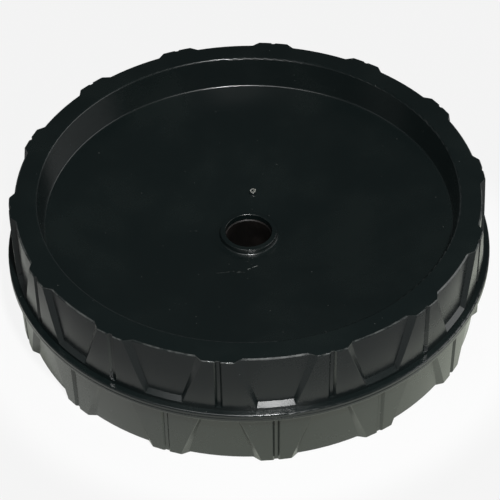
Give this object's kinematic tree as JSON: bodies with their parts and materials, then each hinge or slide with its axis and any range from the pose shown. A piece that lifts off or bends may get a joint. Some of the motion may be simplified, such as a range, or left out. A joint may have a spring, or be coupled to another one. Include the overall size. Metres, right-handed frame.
{
  "type": "mower wheel",
  "caption": "Black moulded mower wheel with a staggered block tread, a deep dished face and a plain axle bore that runs on hidden ball bearings.",
  "frame": {"origin": "on the axle axis, in the mid-plane of the tread where the two moulded halves meet", "axes": "+Z along the axle axis out of the dished outboard face; +X through the middle of an outboard lug"},
  "size_m": [0.2032, 0.2032, 0.0572],
  "materials": {
    "moulded_plastic": "satin",
    "blackened_steel": "satin",
    "bearing_steel": "polished",
    "felt": "matte"
  },
  "bodies": {
    "axle_core": {"axle_sleeve": "blackened_steel", "snap_ring": "blackened_steel", "sleeve_spacer": "blackened_steel", "outer_bearing_inner_ring": "bearing_steel", "inner_bearing_inner_ring": "bearing_steel"},
    "wheel": {"outer_shell": "moulded_plastic", "inner_shell": "moulded_plastic", "hub_spacer": "blackened_steel", "outer_dust_seal": "felt", "inner_dust_seal": "felt", "outer_bearing_outer_ring": "bearing_steel", "outer_bearing_upper_shield": "bearing_steel", "outer_bearing_lower_shield": "bearing_steel", "inner_bearing_outer_ring": "bearing_steel", "inner_bearing_upper_shield": "bearing_steel", "inner_bearing_lower_shield": "bearing_steel"},
    "outer_ball_train": {"outer_bearing_balls": "bearing_steel", "outer_bearing_cage": "bearing_steel"},
    "inner_ball_train": {"inner_bearing_balls": "bearing_steel", "inner_bearing_cage": "bearing_steel"}
  },
  "joints": [
    {"name": "wheel_spin", "type": "hinge", "parent": "axle_core", "child": "wheel", "pos_m": [0, 0, 0], "axis": [0, 0, 1], "continuous": true},
    {"name": "outer_ball_train_spin", "type": "hinge", "parent": "axle_core", "child": "outer_ball_train", "pos_m": [0, 0, 0], "axis": [0, 0, 1], "continuous": true},
    {"name": "inner_ball_train_spin", "type": "hinge", "parent": "axle_core", "child": "inner_ball_train", "pos_m": [0, 0, 0], "axis": [0, 0, 1], "continuous": true}
  ],
  "couplings": [
    {"joint": "outer_ball_train_spin", "follows": "wheel_spin", "ratio": 0.57604},
    {"joint": "inner_ball_train_spin", "follows": "wheel_spin", "ratio": 0.57604}
  ]
}
